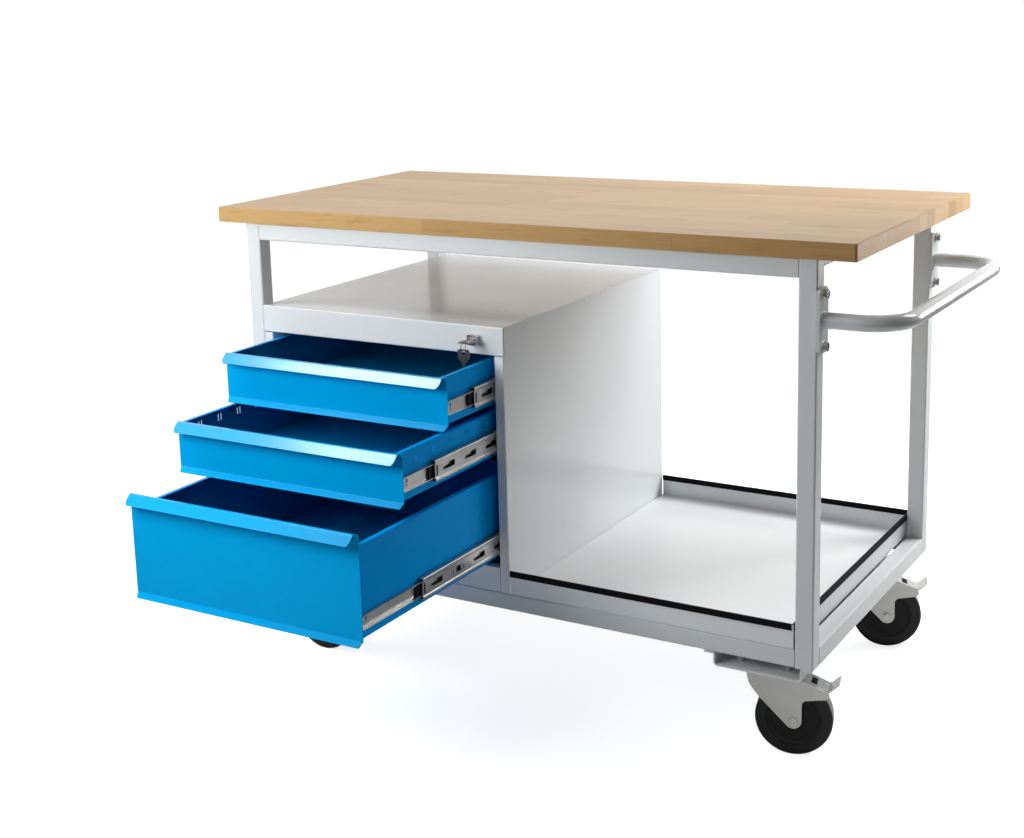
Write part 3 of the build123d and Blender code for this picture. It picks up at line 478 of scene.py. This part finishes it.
# by a part of the node's name, where the finish differs from the rest of its slot
nameFinish = {
    "slides": "slideZinc", "pedal": "pedalSteel", "drawer_front_3": "shadedLowDrawerPaint", "tub": "tubPaint",
    "handle_bar": "handlePaint", "handle_ends": "handlePaint",
}
nodeSlot = {entry["node"]: entry["material_slot"] for entry in frame["record"]["subparts"]}


def paintNodes():
    for name, obj in nodes.items():
        finish = slotFinish[nodeSlot[name]]
        for part, special in nameFinish.items():
            if part in name:
                finish = special
        obj.data.materials.clear()
        obj.data.materials.append(materials[finish])


paintNodes()
print("nodes painted")

# white studio: floor, world, soft lights
studio = dict(floorSize=60.0, floorGrey=(0.80, 0.80, 0.80, 1.0),
              glowNear=0.80, glowFar=1.0, glowReach=(1.3, 2.8),
              seenColour=(1.0, 1.0, 1.0, 1.0), seenStrength=1.0,
              worldColour=(0.95, 0.98, 1.0, 1.0), worldLight=0.05)


# the floor glows for the camera alone, less near the bench so that its shadow stays
def makeFloor():
    half = studio["floorSize"] / 2
    mesh = bpy.data.meshes.new("studioFloor")
    corners = [(-half, -half, 0), (half, -half, 0), (half, half, 0), (-half, half, 0)]
    mesh.from_pydata(corners, [], [(0, 1, 2, 3)])
    floor = bpy.data.objects.new("studioFloor", mesh)
    scene.collection.objects.link(floor)
    material = bpy.data.materials.new("studioFloor")
    material.use_nodes = True
    tree = material.node_tree
    tree.nodes.clear()
    out = addNode(tree, "ShaderNodeOutputMaterial", 600, 0)
    matte = addNode(tree, "ShaderNodeBsdfDiffuse", 0, 100)
    setInputs(matte, Color=studio["floorGrey"])
    place = addNode(tree, "ShaderNodeNewGeometry", -700, -200)
    reach = addNode(tree, "ShaderNodeVectorMath", -500, -200, operation="LENGTH")
    tree.links.new(place.outputs["Position"], reach.inputs[0])
    level = rangeNode(tree, -300, -200, reach.outputs["Value"], studio["glowReach"], studio["glowNear"],
                      studio["glowFar"])
    glow = addNode(tree, "ShaderNodeEmission", 0, -100)
    tree.links.new(level, glow.inputs["Strength"])
    both = addNode(tree, "ShaderNodeAddShader", 200, 0)
    tree.links.new(matte.outputs[0], both.inputs[0])
    tree.links.new(glow.outputs[0], both.inputs[1])
    ray = addNode(tree, "ShaderNodeLightPath", 0, 400)
    choose = addNode(tree, "ShaderNodeMixShader", 400, 0)
    tree.links.new(ray.outputs["Is Camera Ray"], choose.inputs[0])
    tree.links.new(matte.outputs[0], choose.inputs[1])
    tree.links.new(both.outputs[0], choose.inputs[2])
    tree.links.new(choose.outputs[0], out.inputs["Surface"])
    mesh.materials.append(material)


# white where it is seen or mirrored, a faint light elsewhere
def makeWorld():
    world = bpy.data.worlds.new("studioWorld")
    scene.world = world
    world.use_nodes = True
    tree = world.node_tree
    tree.nodes.clear()
    out = addNode(tree, "ShaderNodeOutputWorld", 600, 0)
    white = addNode(tree, "ShaderNodeBackground", 0, 100)
    setInputs(white, Color=studio["seenColour"], Strength=studio["seenStrength"])
    light = addNode(tree, "ShaderNodeBackground", 0, -100)
    setInputs(light, Color=studio["worldColour"], Strength=studio["worldLight"])
    ray = addNode(tree, "ShaderNodeLightPath", -300, 300)
    kinds = ray.outputs
    seen = mathNode(tree, "MAXIMUM", -100, 300, kinds["Is Camera Ray"], kinds["Is Transmission Ray"])
    seen = mathNode(tree, "MAXIMUM", 100, 300, seen, kinds["Is Glossy Ray"])
    choose = addNode(tree, "ShaderNodeMixShader", 300, 0)
    tree.links.new(seen, choose.inputs[0])
    tree.links.new(light.outputs[0], choose.inputs[1])
    tree.links.new(white.outputs[0], choose.inputs[2])
    tree.links.new(choose.outputs[0], out.inputs["Surface"])


# mirrored tells whether glossy faces show the lamp itself
lamps = {
    "keyFront": dict(place=(-0.45, -1.2, 0.95), aim=(-0.1, -0.3, 0.5), size=(0.5, 0.5),
                     power=7.0, mirrored=False),
    "keyLeft": dict(place=(-1.3, -0.6, 0.95), aim=(-0.3, -0.3, 0.6), size=(0.5, 0.5),
                    power=6.2, mirrored=False),
    "keyFar": dict(place=(-1.2, -2.4, 1.1), aim=(-0.1, -0.3, 0.5), size=(1.0, 1.0),
                   power=1.5, mirrored=False),
    "highLeft": dict(place=(-1.9, -1.2, 3.07), aim=(-0.2, -0.5, 0.55), size=(0.8, 0.7),
                     power=29.0, mirrored=True),
    "backRight": dict(place=(0.98, 1.08, 1.03), aim=(0.2, 0.1, 0.4), size=(0.5, 0.5),
                      power=6.8, mirrored=False),
    "backEnd": dict(place=(1.05, 0.78, 0.80), aim=(0.68, 0.22, 0.78), size=(0.3, 0.3),
                    power=4.0, mirrored=True),
    "backMiddle": dict(place=(0.55, 1.0, 1.15), aim=(0.1, 0.0, 0.2), size=(0.4, 0.4),
                       power=7.4, mirrored=False),
    "backHigh": dict(place=(1.3, 0.9, 1.8), aim=(0.25, 0.0, 0.2), size=(0.6, 0.6),
                     power=11.0, mirrored=True),
    "overHead": dict(place=(-0.6, 0.9, 2.2), aim=(0.0, 0.0, 0.85), size=(1.6, 1.0),
                     power=8.5, mirrored=True),
}


def makeLamps():
    for name, look in lamps.items():
        light = bpy.data.lights.new(name, "AREA")
        light.shape = "RECTANGLE"
        light.size, light.size_y = look["size"]
        light.energy = look["power"]
        lamp = bpy.data.objects.new(name, light)
        scene.collection.objects.link(lamp)
        lamp.location = look["place"]
        lamp.visible_camera = False
        lamp.visible_glossy = look["mirrored"]
        ahead = Vector(look["aim"]) - Vector(look["place"])
        lamp.rotation_euler = ahead.to_track_quat("-Z", "Y").to_euler()


photoCamera = dict(place=(1.31651, -2.46986, 1.21108), yaw=30.9888, pitch=11.5473, roll=-1.5425,
                   lens=55.068, sensor=36.0, shiftUp=-0.10)


def makeCamera():
    look = photoCamera
    yaw, pitch, roll = (math.radians(look[key]) for key in ("yaw", "pitch", "roll"))
    ahead = Vector((-math.sin(yaw) * math.cos(pitch), math.cos(yaw) * math.cos(pitch), -math.sin(pitch)))
    flat = Vector((math.cos(yaw), math.sin(yaw), 0))
    up = flat.cross(ahead)
    right = math.cos(roll) * flat + math.sin(roll) * up
    top = -math.sin(roll) * flat + math.cos(roll) * up
    data = bpy.data.cameras.new("photoCamera")
    data.sensor_fit = "HORIZONTAL"
    data.sensor_width = look["sensor"]
    data.lens = look["lens"]
    data.shift_y = look["shiftUp"]
    camera = bpy.data.objects.new("photoCamera", data)
    scene.collection.objects.link(camera)
    turn = Matrix((right, top, -ahead)).transposed().to_4x4()
    camera.matrix_world = Matrix.Translation(look["place"]) @ turn
    scene.camera = camera


makeFloor()
makeWorld()
makeLamps()
makeCamera()
scene.view_settings.view_transform = "Standard"
print("studio and camera ready")

bpy.context.view_layer.update()
